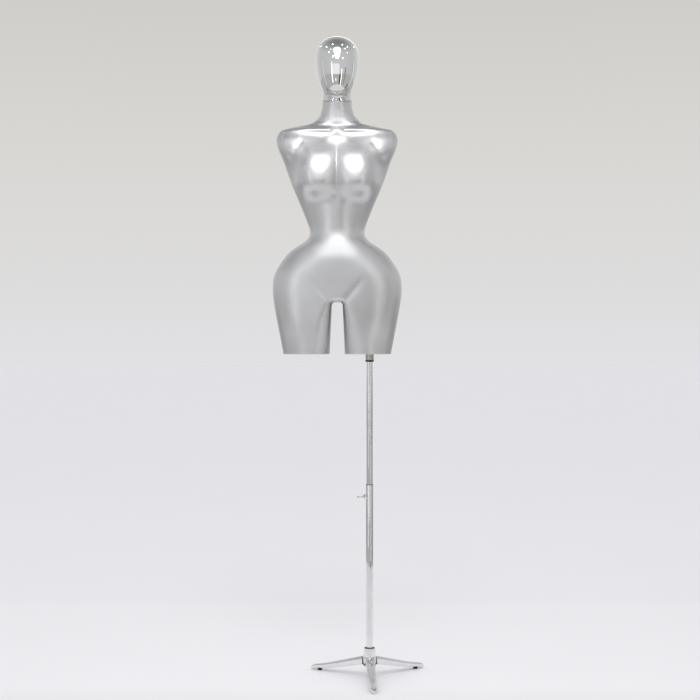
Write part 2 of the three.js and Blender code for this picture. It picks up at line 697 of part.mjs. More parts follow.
function polePieces() {
  const pad = rod(CLAMP_PAD.radius, CLAMP_PAD.from, CLAMP_PAD.to);
  return [
    piece("lower_pole", CHROME, lowerPole()),
    piece("guide_ring", BLACK_PLASTIC, guideRing()),
    piece("clamp_boss", CHROME, clampBoss()),
    piece("clamp_pad", BRONZED, solidOf(atClamp(pad))),
    piece("clamp_screw", CHROME, clampScrew()),
    piece("upper_pole", CHROME, upperPole()),
    piece("pole_foot_bush", BLACK_PLASTIC, poleFootBush()),
    piece("pole_top_cap", BLACK_PLASTIC, poleTopCap()),
  ];
}

// ------------------------------------------------------------------ assembly
const body = new THREE.Group();
body.position.x = BODY_OFFSET;
body.add(
  piece("torso_shell", SILVER, torsoShell()),
  piece("head_shell", MIRROR_CHROME, headShell()),
  ...thighCaps(),
  ...socketPieces(),
  neckFittings(),
);

const mannequin = new THREE.Group();
mannequin.add(body, ...polePieces(), ...tripodPieces());

const middle = new THREE.Box3().setFromObject(mannequin, true).getCenter(new THREE.Vector3());
mannequin.position.set(-middle.x, -middle.y, 0);

export default mannequin;
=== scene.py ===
"""Studio view of the headed half-body display form on its tripod stand."""
import json
import math

import bmesh
import bpy
import numpy as np
from mathutils import Matrix, Vector


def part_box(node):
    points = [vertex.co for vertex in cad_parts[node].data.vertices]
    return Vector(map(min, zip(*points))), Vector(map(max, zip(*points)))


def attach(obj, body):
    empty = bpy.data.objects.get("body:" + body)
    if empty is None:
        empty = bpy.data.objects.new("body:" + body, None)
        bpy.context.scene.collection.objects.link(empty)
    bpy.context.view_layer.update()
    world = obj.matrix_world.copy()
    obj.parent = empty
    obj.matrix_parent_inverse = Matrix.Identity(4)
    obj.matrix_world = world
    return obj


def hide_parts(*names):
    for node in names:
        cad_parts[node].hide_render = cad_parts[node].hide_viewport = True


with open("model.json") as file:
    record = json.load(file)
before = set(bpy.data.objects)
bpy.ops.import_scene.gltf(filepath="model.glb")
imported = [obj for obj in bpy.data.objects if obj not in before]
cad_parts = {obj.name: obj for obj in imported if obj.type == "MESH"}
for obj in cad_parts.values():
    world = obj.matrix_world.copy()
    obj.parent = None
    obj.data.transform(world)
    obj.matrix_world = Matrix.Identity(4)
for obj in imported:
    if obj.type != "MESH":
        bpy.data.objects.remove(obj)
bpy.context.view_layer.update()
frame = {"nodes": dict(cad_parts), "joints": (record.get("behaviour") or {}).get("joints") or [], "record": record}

# ------------------------------------------------------------------ places from the frame
MM = 0.001
UP = Vector((0, 0, 1))
TINY = 1e-9  # keeps a divisor off zero
SMALL = 1e-6  # keeps the base of a power off zero


def centre_of(node):
    low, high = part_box(node)
    return (low + high) / 2


def joint(name):
    return next(j for j in frame["joints"] if j["name"] == name)


POLE = centre_of("upper_pole")  # its x and y are the pole's axis
NECK = Vector(joint("head_turn")["pos_m"])
NECK_AXIS = Vector(joint("head_turn")["axis"]).normalized()
BODY = Vector((NECK.x, POLE.y, 0))  # the body's centre line
THIGH_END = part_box("torso_shell")[0].z / MM
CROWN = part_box("head_shell")[1].z / MM


# ------------------------------------------------------------------ mesh helpers
CREASE = math.radians(35)  # edges sharper than this stay sharp
FINE, MEDIUM, COARSE = 96, 64, 48  # sides of turned parts, by size


def linked(name, data):
    """A new object in the scene."""
    made = bpy.data.objects.new(name, data)
    bpy.context.scene.collection.objects.link(made)
    return made


def new_piece(name, mesh, slot, body, node):
    """Link a finished mesh as a piece that rides on a body and stands for a CAD node."""
    mesh.materials.append(SLOT_MATERIALS[slot])
    piece = linked(name, mesh)
    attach(piece, body)
    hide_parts(node)


def mesh_of(name, points, faces, normals=None):
    """A smooth mesh from points and faces, with its own normals where they are given."""
    mesh = bpy.data.meshes.new(name)
    mesh.from_pydata([tuple(p) for p in points], [], [tuple(f) for f in faces])
    mesh.validate()
    mesh.shade_smooth()
    if normals is not None:
        mesh.normals_split_custom_set_from_vertices([tuple(n) for n in normals])
    return mesh


def bands(count, levels, closed=False):
    """Quads between rings of points, numbered ring after ring."""
    faces = []
    for level in range(levels if closed else levels - 1):
        a, b = level * count, (level + 1) % levels * count
        faces += [[a + i, a + (i + 1) % count, b + (i + 1) % count, b + i] for i in range(count)]
    return faces


def rounded(profile, radius, steps=3):
    """A profile of (r, z) points with every corner but the two ends cut to a small arc."""
    out = [profile[0]]
    for before, here, after in zip(profile, profile[1:], profile[2:]):
        a, b, c = (np.array(p, float) for p in (before, here, after))
        reach_in, reach_out = np.linalg.norm(b - a), np.linalg.norm(c - b)
        r = min(radius, 0.45 * reach_in, 0.45 * reach_out)
        start, end = b + (a - b) * r / reach_in, b + (c - b) * r / reach_out
        for k in range(steps + 1):
            t = k / steps
            out.append(tuple((1 - t) ** 2 * start + 2 * t * (1 - t) * b + t * t * end))
    out.append(profile[-1])
    return out


def turned(name, profile, sides, round_by, closed=False):
    """A body of revolution about +Z, in millimetres, from (r, z) points."""
    if closed:
        profile = list(profile) + [profile[0], profile[1]]
        profile = rounded(profile, round_by)[1:-1]
    else:
        profile = rounded(profile, round_by)
    mesh = bpy.data.meshes.new(name)
    bm = bmesh.new()
    rings = []
    for r, z in profile:
        if r < TINY:
            rings.append([bm.verts.new((0, 0, z * MM))])
            continue
        turns = (2 * math.pi * i / sides for i in range(sides))
        rings.append([bm.verts.new((r * math.cos(t) * MM, r * math.sin(t) * MM, z * MM))
                      for t in turns])
    pairs = list(zip(rings, rings[1:]))
    if closed:
        pairs.append((rings[-1], rings[0]))
    for low, high in pairs:
        for i in range(sides):
            k = i + 1
            corners = [low[i % len(low)], low[k % len(low)], high[k % len(high)],
                       high[i % len(high)]]
            corners = list(dict.fromkeys(corners))
            if len(corners) > 2:
                bm.faces.new(corners)
    bmesh.ops.remove_doubles(bm, verts=bm.verts, dist=1e-7)
    bmesh.ops.recalc_face_normals(bm, faces=bm.faces)
    bm.to_mesh(mesh)
    bm.free()
    mesh.shade_smooth()
    mesh.set_sharp_from_angle(angle=CREASE)
    return mesh


def placed(mesh, at, turn=None):
    """Move a mesh's own vertices, so that its object can stay at the origin."""
    matrix = Matrix.Translation(Vector(at))
    if turn is not None:
        matrix = matrix @ turn.to_4x4()
    mesh.transform(matrix)
    return mesh


def joined(name, meshes):
    """One mesh made of several."""
    bm = bmesh.new()
    for mesh in meshes:
        bm.from_mesh(mesh)
    out = bpy.data.meshes.new(name)
    bm.to_mesh(out)
    bm.free()
    out.shade_smooth()
    out.set_sharp_from_angle(angle=CREASE)
    return out


# ------------------------------------------------------------------ body form, millimetres
# Height, half width, depth to the front, depth to the back, and how much thinner (or, when
# negative, fuller) the section gets towards its sides.
BODY_SECTIONS = np.array([
    [1060, 176, 78, 88, -0.15],
    [1086, 180.6, 80, 90, -0.15],
    [1140, 190.8, 86, 98, -0.15],
    [1200, 202.3, 94, 108, -0.15],
    [1250, 211.2, 98, 116, -0.12],
    [1306, 216.9, 99, 120, -0.1],
    [1350, 211, 100, 119, -0.05],
    [1400, 183, 98, 112, 0],
    [1440, 143.5, 91.5, 96, 0],
    [1466, 104.5, 85, 82, -0.05],
    [1494, 91.2, 77, 72, -0.1],
    [1520, 97.4, 74, 72, -0.1],
    [1600, 129.6, 83, 84, -0.05],
    [1680, 162, 95, 98, 0],
    [1740, 183.5, 89.5, 106, 0],
    [1785, 201, 72, 107, 0],
    [1803, 203, 65.5, 105, 0.04],
    [1822, 197, 58.5, 100, 0.1],
    [1833, 186.5, 55.5, 94, 0.18],
    [1838, 175.5, 50, 91, 0.25],
    [1844, 154, 43.5, 88, 0.3],
    [1852, 114, 41, 83, 0.3],
    [1858, 91.5, 41, 79, 0.3],
    [1871, 71.7, 40.5, 72, 0.2],
    [1884, 59.3, 41, 66, 0.1],
    [1898, 53.8, 42, 61, 0],
    [1915, 50.2, 44.5, 56.5, 0],
    [1935, 49.2, 48, 52, 0],
    [1960, 49.2, 53, 47, 0],
])
BODY_WALL = 4
HEAD_WALL = 3
BODY_CELL = 5  # grid step of the skin, before it settles
HEAD_CELL = 4
GAP = {"top": 1262, "arch": 14, "half_width": 18.5, "flare": 7, "flare_from": 1252,
       "cut_end": 1086, "power": 2.8}
GAP_ROUNDING = {"crotch": 26, "more_below": 70, "from": 1256, "most": 1.2}
BREAST = {"centre": (60, -46, 1660), "radii": (76, 80, 58), "drawn_up": 112,
          "power": 2.1, "upper_power": 0.6, "turn_at": 20, "turn_soft": 12}
BREAST_BLEND = 30
BUTTOCK = {"centre": (75, 70, 1300), "radii": (88, 76, 95)}
BUTTOCK_BLEND = 36
FAR_OUT = 1.6  # beyond this, a section's taper stops growing
FRONT_TO_BACK = 7  # millimetres over which the front's detail gives way to the back's
FLATTER_PELVIS = (0.6, 1150, 1400, 22)  # added power, from and to height, softness
FLATTER_SHOULDERS = (3.2, 1745, 1850, 12)


def natural_spline(stations):
    """A smooth curve through rows of [position, value, value ...]."""
    at, values = stations[:, 0], stations[:, 1:]
    count, gaps = len(at), np.diff(at)
    matrix, slopes = np.eye(count), np.zeros_like(values)
    for i in range(1, count - 1):
        matrix[i, i - 1:i + 2] = gaps[i - 1], 2 * (gaps[i - 1] + gaps[i]), gaps[i]
        rise = (values[i + 1] - values[i]) / gaps[i]
        slopes[i] = 6 * (rise - (values[i] - values[i - 1]) / gaps[i - 1])
    bends = np.linalg.solve(matrix, slopes)

    def evaluate(where):
        where = np.clip(where, at[0], at[-1])
        k = np.clip(np.searchsorted(at, where) - 1, 0, count - 2)
        gap, left, right = gaps[k], where - at[k], at[k + 1] - where
        out = []
        for v, m in zip(values.T, bends.T):
            ends = v[k] * right + v[k + 1] * left
            bend = m[k] * (right ** 3 - gap ** 2 * right) + m[k + 1] * (left ** 3 - gap ** 2 * left)
            out.append((ends + bend / 6) / gap)
        return out

    return evaluate


body_section = natural_spline(BODY_SECTIONS)


def soft_min(a, b, reach):
    """The union of two forms, blended where they are within a reach of each other."""
    overlap = np.maximum(reach - np.abs(a - b), 0) / reach
    return np.minimum(a, b) - overlap * overlap * reach / 4


def soft_max(a, b, reach):
    """The part common to two forms, rounded in the same way."""
    return -soft_min(-a, -b, reach)


def ellipsoid(x, y, z, centre, radii):
    dx, dy, dz = x - centre[0], y - centre[1], z - centre[2]
    scaled = np.sqrt((dx / radii[0]) ** 2 + (dy / radii[1]) ** 2 + (dz / radii[2]) ** 2) + TINY
    return np.sqrt(dx * dx + dy * dy + dz * dz) * (1 - 1 / scaled)


def near_line(x, z, start, end, width, fade=0.0):
    """1 on a line drawn across the front or back, fading to 0 within about two widths.

    With a fade, the line also dies away towards its start, over that share of its length.
    """
    along = np.array(end, float) - np.array(start, float)
    t = ((x - start[0]) * along[0] + (z - start[1]) * along[1]) / along.dot(along)
    t = np.clip(t, 0, 1)
    gap2 = (x - start[0] - t * along[0]) ** 2 + (z - start[1] - t * along[1]) ** 2
    strength = np.exp(-gap2 / (2 * width * width))
    if fade:
        share = np.clip(t / fade, 0, 1)
        strength = strength * share * share * (3 - 2 * share)
    return strength


def bump(z, low, high, soft):
    """1 between two heights, easing to 0 outside them."""
    return 1 / (1 + np.exp((low - z) / soft)) / (1 + np.exp((z - high) / soft))


def near_spot(x, z, middle, radii):
    """1 at a spot on the front or back, fading to 0 within about two radii."""
    dx, dz = (x - middle[0]) / radii[0], (z - middle[1]) / radii[1]
    return np.exp(-(dx ** 2 + dz ** 2) / 2)


# Lines drawn on one side of the body and mirrored: depth in millimetres (negative stands
# proud), start, end, width, fade.
FRONT_LINES = {
    "collar_bone": (-2.5, (24, 1828), (118, 1836), 4, 0),
    "under_collar_bone": (2.5, (48, 1805), (100, 1809), 11, 0),
    "armpit_upper": (1, (117, 1828), (119, 1786), 5, 0),
    "armpit_lower": (1, (119, 1786), (142, 1752), 6, 0),
    "belly_edge": (-1, (0, 1404), (62, 1406), 16, 0),
    "groin": (3, (98, 1350), (34, 1272), 8, 0.7),
}
BACK_LINES = {
    "spine": (6, (0, 1480), (0, 1800), 11, 0),
    "shoulder_blade": (-7, (62, 1700), (88, 1790), 22, 0),
    "blade_edge": (1.5, (50, 1690), (46, 1780), 10, 0),
}
THROAT_NOTCH = {"depth": 5, "middle": (0, 1830), "radii": (12, 9)}
BACK_DIMPLE = {"depth": 2.5, "middle": (34, 1425), "radii": (9, 9)}
RIBS = {"height": 10, "width": 36, "from": 1500, "to": 1600, "soft": 14}
SHOULDER_LEAN = 0.06  # how much further the shoulders' ends lean back, turning at this height:
SHOULDER_PIVOT = 1800


def relief(side, z, lines):
    return sum(depth * near_line(side, z, *line) for depth, *line in lines.values())


def front_detail(x, z):
    """Millimetres that the front stands proud (negative) or is sunk (positive)."""
    side = np.abs(x)
    notch = near_spot(x, z, THROAT_NOTCH["middle"], THROAT_NOTCH["radii"])
    shoulder = bump(side, 120, 160, 6) * bump(z, 1755, 1836, 8) * (z - SHOULDER_PIVOT)
    ribs = np.exp(-((x / RIBS["width"]) ** 2) / 2)
    ribs = ribs * bump(z, RIBS["from"], RIBS["to"], RIBS["soft"])
    return (relief(side, z, FRONT_LINES) + THROAT_NOTCH["depth"] * notch
            + SHOULDER_LEAN * shoulder - RIBS["height"] * ribs)


def back_detail(x, z):
    side = np.abs(x)
    dimple = near_spot(side, z, BACK_DIMPLE["middle"], BACK_DIMPLE["radii"])
    return relief(side, z, BACK_LINES) + BACK_DIMPLE["depth"] * dimple


def thigh_gap(x, z):
    """Positive inside the round-topped gap between the thighs."""
    narrow, power = GAP["half_width"], GAP["power"]
    flared = GAP["flare_from"] - np.minimum(z, GAP["flare_from"])
    half = narrow + GAP["flare"] * flared / (GAP["flare_from"] - GAP["cut_end"])
    spring = GAP["top"] - GAP["arch"]
    rise = np.maximum(z - spring, 0) * narrow / GAP["arch"]
    arch = narrow - (np.abs(x) ** power + rise ** power) ** (1 / power)
    return np.where(z < spring, half - np.abs(x), arch)


def breast_form(x, y, z):
    """A teardrop: an ellipsoid whose upper half is drawn up towards the collar bone."""
    middle, (wide, deep, low_half) = BREAST["centre"], BREAST["radii"]
    dx, dy, rise = x - middle[0], y - middle[1], z - middle[2]
    dz = np.where(rise > 0, rise * low_half / BREAST["drawn_up"], rise)
    fuller = BREAST["upper_power"] / (1 + np.exp(-(rise - BREAST["turn_at"]) / BREAST["turn_soft"]))
    power = BREAST["power"] + fuller
    section = np.hypot(dy / deep, dz / low_half)
    scaled = (np.abs(dx / wide) ** power + section ** power) ** (1 / power) + TINY
    return np.sqrt(dx * dx + dy * dy + dz * dz) * (1 - 1 / scaled)


def body_form(x, y, z):
    """Signed, roughly distance-like: negative inside the form."""
    half_width, front, back, taper = body_section(z)
    middle = (back - front) / 2
    side = np.minimum((x / half_width) ** 2, FAR_OUT)
    half_depth = (front + back) / 2 * (1 - taper * side)
    facing = 1 / (1 + np.exp(np.clip((y - middle) / FRONT_TO_BACK, -30, 30)))
    # The front is flatter across the pelvis and across the shoulders.
    flatter = sum(more * bump(z, *span) for more, *span in (FLATTER_PELVIS, FLATTER_SHOULDERS))
    power = 2 + facing * flatter
    across, deep = np.abs(x / half_width) + SMALL, np.abs((y - middle) / half_depth) + SMALL
    scaled = (across ** power + deep ** power) ** (1 / power) + TINY
    torso = np.hypot(x, y - middle) * (1 - 1 / scaled)
    mirrored = np.abs(x)
    buttock = ellipsoid(mirrored, y, z, BUTTOCK["centre"], BUTTOCK["radii"])
    form = soft_min(torso, breast_form(mirrored, y, z), BREAST_BLEND)
    form = soft_min(form, buttock, BUTTOCK_BLEND)
    form = form + facing * front_detail(x, z) + (1 - facing) * back_detail(x, z)
    below = (GAP_ROUNDING["from"] - z) / (GAP_ROUNDING["from"] - GAP["cut_end"])
    below = np.clip(below, 0, GAP_ROUNDING["most"])
    rounding = GAP_ROUNDING["crotch"] + GAP_ROUNDING["more_below"] * below
    return soft_max(form, thigh_gap(x, z), rounding)


HEAD = {"crown": CROWN, "chin": 1937, "widest": 2076, "half_width": 73, "half_depth": 95,
        "middle": 2, "lean": 0.13, "bend": 0.0006, "radius": 80}
FULLNESS = 2.3  # 2 is a plain ellipsoid; more is fuller towards crown and chin
COLLAR = {"radius": 48.6, "taper": 0.03, "height": 32, "blend": 7}
NECK_LEAN = math.atan2(-NECK_AXIS.y, NECK_AXIS.z)
NECK_MIDDLE = np.array([0, (NECK.y - BODY.y) / MM, NECK.z / MM])
NECK_SEAM = 0.6


def along_neck(x, y, z):
    """Height above the neck cut and distance from the neck's leaning axis."""
    dy, dz = y - NECK_MIDDLE[1], z - NECK_MIDDLE[2]
    height = -math.sin(NECK_LEAN) * dy + math.cos(NECK_LEAN) * dz
    across = math.cos(NECK_LEAN) * dy + math.sin(NECK_LEAN) * dz
    return height, np.hypot(x, across)


def head_form(x, y, z):
    """An egg on a short collar: negative inside, like body_form."""
    rise = z - HEAD["widest"]
    tall = np.where(rise > 0, HEAD["crown"] - HEAD["widest"], HEAD["widest"] - HEAD["chin"])
    middle = HEAD["middle"] + HEAD["lean"] * rise - HEAD["bend"] * rise * rise
    u, v = x / HEAD["half_width"], (y - middle) / HEAD["half_depth"]
    scaled = np.sqrt(u * u + v * v + np.abs(rise / tall) ** FULLNESS) + TINY
    egg = HEAD["radius"] * (scaled - 1)
    height, reach = along_neck(x, y, z)
    side = reach - (COLLAR["radius"] - COLLAR["taper"] * height)
    return soft_min(egg, np.maximum(side, height - COLLAR["height"]), COLLAR["blend"])


# ------------------------------------------------------------------ skin of a form
def gradient(form, points, step=0.2):
    """The form's slope at each point, by small steps along the axes."""
    columns = []
    for axis in range(3):
        shift = np.zeros(3)
        shift[axis] = step
        ahead = form(*(points + shift).T)
        behind = form(*(points - shift).T)
        columns.append((ahead - behind) / (2 * step))
    return np.stack(columns, 1)


def settle(form, points, rounds=4):
    """Move points onto the form's surface."""
    for _ in range(rounds):
        slope = gradient(form, points)
        size2 = np.maximum((slope ** 2).sum(1), 1e-6)
        move = -form(*points.T) / size2
        points = points + np.clip(move, -4, 4)[:, None] * slope
    return points


def at_corner(values, corner, cells):
    """The values at one corner of every grid cell."""
    return values[tuple(slice(c, c + n) for c, n in zip(corner, cells))]


def skin(form, low, high, cell):
    """Quads over the surface of a form, one vertex in each grid cell that it crosses."""
    axes = [np.arange(a, b + cell, cell) for a, b in zip(low, high)]
    x, y, z = (a.reshape([-1 if i == k else 1 for i in range(3)]) for k, a in enumerate(axes))
    values = form(x, y, z) + 0 * x + 0 * y + 0 * z
    inside = values < 0
    cells = tuple(n - 1 for n in values.shape)
    sums = np.zeros(cells + (3,))
    crossings = np.zeros(cells)
    corners = [(i, j, k) for i in (0, 1) for j in (0, 1) for k in (0, 1)]
    for axis in range(3):
        for start in (c for c in corners if c[axis] == 0):
            end = tuple(1 if k == axis else v for k, v in enumerate(start))
            a, b = at_corner(values, start, cells), at_corner(values, end, cells)
            crossed = (a < 0) != (b < 0)
            share = np.where(crossed, a / np.where(crossed, a - b, 1), 0)
            for k in range(3):
                offset = start[k] + (share if k == axis else 0)
                sums[..., k] += np.where(crossed, offset, 0)
            crossings += crossed
    used = crossings > 0
    index = np.full(cells, -1)
    index[used] = np.arange(used.sum())
    where = np.argwhere(used)
    points = where + sums[used] / crossings[used][:, None]
    points = points * cell + np.array(low, float)
    faces = []
    for axis in range(3):
        u, v = (axis + 1) % 3, (axis + 2) % 3
        take = [slice(1, -1)] * 3
        take[axis] = slice(0, -1)
        ahead = [slice(1, -1)] * 3
        ahead[axis] = slice(1, None)
        a, b = inside[tuple(take)], inside[tuple(ahead)]
        for flip, mask in ((False, a & ~b), (True, ~a & b)):
            at = np.argwhere(mask)
            at[:, u] += 1
            at[:, v] += 1
            quad = []
            for du, dv in ((-1, -1), (0, -1), (0, 0), (-1, 0)):
                c = at.copy()
                c[:, u] += du
                c[:, v] += dv
                quad.append(index[c[:, 0], c[:, 1], c[:, 2]])
            faces.append(np.stack(quad[::-1] if flip else quad, 1))
    return settle(form, points), np.concatenate(faces)


def cut(points, faces, planes):
    """Keep the part of a mesh behind every plane, given as (point, outward normal)."""
    bm = bmesh.new()
    verts = [bm.verts.new(p) for p in points]
    for face in faces:
        bm.faces.new([verts[i] for i in face])
    for point, normal in planes:
        everything = bm.verts[:] + bm.edges[:] + bm.faces[:]
        bmesh.ops.bisect_plane(bm, geom=everything, dist=0.3, plane_co=point,
                               plane_no=normal, clear_outer=True)
    bm.verts.ensure_lookup_table()
    bm.verts.index_update()
    kept = np.array([v.co for v in bm.verts])
    quads = [[v.index for v in f.verts] for f in bm.faces]
    rims = []
    for edge in bm.edges:
        if len(edge.link_faces) == 1:
            loop = edge.link_loops[0]
            rims.append((loop.vert.index, loop.link_loop_next.vert.index))
    bm.free()
    return kept, quads, rims


ROLL = 1.2  # radius of the rolled edge round each open end


def shell(form, low, high, cell, wall, ends):
    """A hollow shell with a rolled rim at each end plane (point, outward normal)."""
    ends = [(np.array(p, float), np.array(n, float)) for p, n in ends]
    points, faces = skin(form, low, high, cell)
    points, faces, rims = cut(points, faces, [(p - n * ROLL, n) for p, n in ends])
    normals = gradient(form, points)
    normals /= np.linalg.norm(normals, axis=1)[:, None]
    count = len(points)
    inner = points - normals * wall
    all_points, all_normals = [points, inner], [normals, -normals]
    all_faces = faces + [[i + count for i in reversed(f)] for f in faces]
    rim = sorted({i for pair in rims for i in pair})
    order = {v: k for k, v in enumerate(rim)}
    base, skin_normal = points[rim], normals[rim]
    nearest = [min(ends, key=lambda end: abs((p - end[0]).dot(end[1]))) for p in base]
    out = np.array([end[1] for end in nearest])
    flat = skin_normal - (skin_normal * out).sum(1)[:, None] * out
    flat /= np.linalg.norm(flat, axis=1)[:, None]
    inner[rim] = base - flat * wall
    loops = []
    for turn in np.radians((30, 60, 90)):
        sunk = ROLL * (1 - math.cos(turn))
        loops.append((base + out * ROLL * math.sin(turn) - flat * sunk,
                      flat * math.cos(turn) + out * math.sin(turn)))
    loops.append((base + out * ROLL - flat * wall, out))
    chain = [np.array(rim)]
    total = 2 * count
    for loop_points, loop_normals in loops:
        all_points.append(loop_points)
        all_normals.append(loop_normals)
        chain.append(total + np.arange(len(rim)))
        total += len(rim)
    chain.append(np.array(rim) + count)
    for a, b in rims:
        i, k = order[a], order[b]
        for upper, lower in zip(chain, chain[1:]):
            all_faces.append([upper[k], upper[i], lower[i], lower[k]])
    return np.concatenate(all_points), all_faces, np.concatenate(all_normals)


def to_row(points):
    """From the body's own millimetres to the frame's metres."""
    return points * MM + np.array(BODY)


def form_mesh(name, built):
    points, faces, normals = built
    return mesh_of(name, to_row(points), faces, normals)


def outline(z, middle, inset, count=140):
    """Points round the body form at one height, seen from a middle point inside it."""
    turns = np.linspace(0, 2 * math.pi, count, endpoint=False)
    rays = np.stack([np.cos(turns), np.sin(turns)], 1)
    near, far = np.full(count, 1.0), np.full(count, 240.0)
    for _ in range(24):
        reach = (near + far) / 2
        spots = np.array(middle) + rays * reach[:, None]
        within = body_form(spots[:, 0], spots[:, 1], np.full(count, float(z))) < 0
        near, far = np.where(within, reach, near), np.where(within, far, reach)
    spots = np.array(middle) + rays * near[:, None]
    slope = gradient(body_form, np.column_stack([spots, np.full(count, float(z))]))[:, :2]
    slope /= np.linalg.norm(slope, axis=1)[:, None]
    return spots - slope * inset, slope


# ------------------------------------------------------------------ materials
def spread(tree, value, low, high):
    """The value's share of the way from low to high."""
    made = tree.nodes.new("ShaderNodeMapRange")
    made.inputs["From Min"].default_value = low
    made.inputs["From Max"].default_value = high
    tree.links.new(value, made.inputs["Value"])
    return made.outputs[0]


def colour_ramp(tree, factor, stops, tint=(1, 1, 1)):
    """A ramp of (position, colour) stops, where a plain number is a grey, slightly tinted."""
    ramp = tree.nodes.new("ShaderNodeValToRGB")
    elements = ramp.color_ramp.elements
    while len(elements) < len(stops):
        elements.new(0.5)
    for element, (position, colour) in zip(elements, stops):
        element.position = position
        if isinstance(colour, (int, float)):
            colour = [colour * part for part in tint]
        element.color = (*colour, 1)
    tree.links.new(factor, ramp.inputs["Fac"])
    return ramp.outputs["Color"]


class Nodes:
    """Short names for building a node material round one Principled shader."""

    def __init__(self, name, metallic=0.0):
        self.material = bpy.data.materials.new(name)
        self.material.use_nodes = True
        self.tree = self.material.node_tree
        self.shader = self.tree.nodes["Principled BSDF"]
        self.shader.inputs["Metallic"].default_value = metallic
        coordinates = self.tree.nodes.new("ShaderNodeTexCoord")
        self.place = coordinates.outputs["Object"]

    def node(self, kind, **settings):
        made = self.tree.nodes.new(kind)
        for key, value in settings.items():
            if hasattr(made, key):
                setattr(made, key, value)
            else:
                made.inputs[key].default_value = value
        return made

    def link(self, source, target):
        self.tree.links.new(source, target)

    def stretched(self, x, y, z):
        mapping = self.node("ShaderNodeMapping")
        mapping.inputs["Scale"].default_value = (x, y, z)
        self.link(self.place, mapping.inputs["Vector"])
        return mapping.outputs["Vector"]

    def noise(self, scale, detail, where=None):
        made = self.node("ShaderNodeTexNoise", Scale=scale, Detail=detail, Roughness=0.55)
        self.link(where or self.place, made.inputs["Vector"])
        return made.outputs["Fac"]

    def ramp(self, source, *stops):
        return colour_ramp(self.tree, source, stops)

    def mix(self, factor, a, b):
        made = self.node("ShaderNodeMix", data_type="RGBA")
        made.inputs[0].default_value = factor
        for socket, source in ((made.inputs[6], a), (made.inputs[7], b)):
            self.link(source, socket)
        return made.outputs[2]

    def bump(self, height, distance, strength, after=None):
        made = self.node("ShaderNodeBump", Strength=strength, Distance=distance)
        self.link(height, made.inputs["Height"])
        if after is not None:
            self.link(after, made.inputs["Normal"])
        return made.outputs["Normal"]

    def finish(self, colour, roughness, normal=None):
        self.link(colour, self.shader.inputs["Base Color"])
        self.link(roughness, self.shader.inputs["Roughness"])
        if normal is not None:
            self.link(normal, self.shader.inputs["Normal"])
        return self.material


def silver_paint():
    """Metallic lacquer: fine flake, faint sprayed mottle and a little orange peel."""
    n = Nodes("silver_paint", metallic=1)
    mottle = n.noise(9, 5)
    flake = n.node("ShaderNodeTexVoronoi", Scale=2600)
    n.link(n.place, flake.inputs["Vector"])
    colour = n.mix(0.12, n.ramp(mottle, (0.3, (0.67, 0.672, 0.68)), (0.7, (0.72, 0.722, 0.73))),
                   n.ramp(flake.outputs["Distance"], (0.0, 0.78), (0.8, 0.5)))
    rough = n.ramp(n.noise(23, 4), (0.3, 0.35), (0.72, 0.4))
    peel = n.bump(n.noise(420, 2), 0.00002, 0.6)
    sparkle = n.bump(flake.outputs["Distance"], 0.00001, 0.35, after=peel)
    return n.finish(colour, rough, sparkle)


def mirror_chrome():
    """Bright plating with the faintest handling haze and long ripples."""
    n = Nodes("mirror_chrome", metallic=1)
    colour = n.ramp(n.noise(5, 3), (0.35, (0.82, 0.82, 0.815)), (0.7, (0.86, 0.86, 0.855)))
    rough = n.ramp(n.noise(16, 6), (0.45, 0.02), (0.8, 0.065))
    return n.finish(colour, rough, n.bump(n.noise(14, 2), 0.00015, 0.25))


def stand_chrome():
    """Plated steel: lengthwise polishing lines, slight haze and specks of dust."""
    n = Nodes("stand_chrome", metallic=1)
    lines = n.noise(60, 3, where=n.stretched(9, 9, 0.1))
    colour = n.ramp(n.noise(30, 4), (0.3, (0.76, 0.765, 0.775)), (0.7, (0.84, 0.845, 0.85)))
    rough = n.ramp(n.noise(45, 6), (0.4, 0.045), (0.8, 0.11))
    return n.finish(colour, rough, n.bump(lines, 0.00001, 0.1))


def bronzed_steel():
    n = Nodes("bronzed_steel", metallic=1)
    rings = n.noise(90, 4, where=n.stretched(1, 1, 26))
    colour = n.ramp(rings, (0.3, (0.46, 0.42, 0.36)), (0.7, (0.6, 0.56, 0.49)))
    rough = n.ramp(n.noise(60, 5), (0.3, 0.22), (0.75, 0.36))
    return n.finish(colour, rough, n.bump(rings, 0.00003, 0.4))


def zinc_steel():
    n = Nodes("zinc_steel", metallic=1)
    spangle = n.node("ShaderNodeTexVoronoi", Scale=190)
    n.link(n.place, spangle.inputs["Vector"])
    colour = n.ramp(spangle.outputs["Distance"], (0.0, (0.5, 0.5, 0.5)), (0.8, (0.62, 0.62, 0.61)))
    rough = n.ramp(n.noise(120, 5), (0.3, 0.26), (0.7, 0.42))
    return n.finish(colour, rough, n.bump(n.noise(260, 4), 0.00002, 0.4))


def black_rubber():
    n = Nodes("black_rubber")
    n.shader.inputs["Specular IOR Level"].default_value = 0.35
    grain = n.noise(900, 3)
    colour = n.ramp(n.noise(70, 5), (0.3, (0.012, 0.012, 0.012)), (0.75, (0.035, 0.034, 0.033)))
    rough = n.ramp(grain, (0.3, 0.62), (0.7, 0.85))
    return n.finish(colour, rough, n.bump(grain, 0.00008, 0.6))


def black_plastic():
    n = Nodes("black_plastic")
    grain = n.noise(1400, 2)
    colour = n.ramp(n.noise(40, 4), (0.3, (0.018, 0.018, 0.02)), (0.7, (0.03, 0.03, 0.032)))
    rough = n.ramp(grain, (0.3, 0.36), (0.7, 0.52))
    return n.finish(colour, rough, n.bump(grain, 0.00003, 0.5))


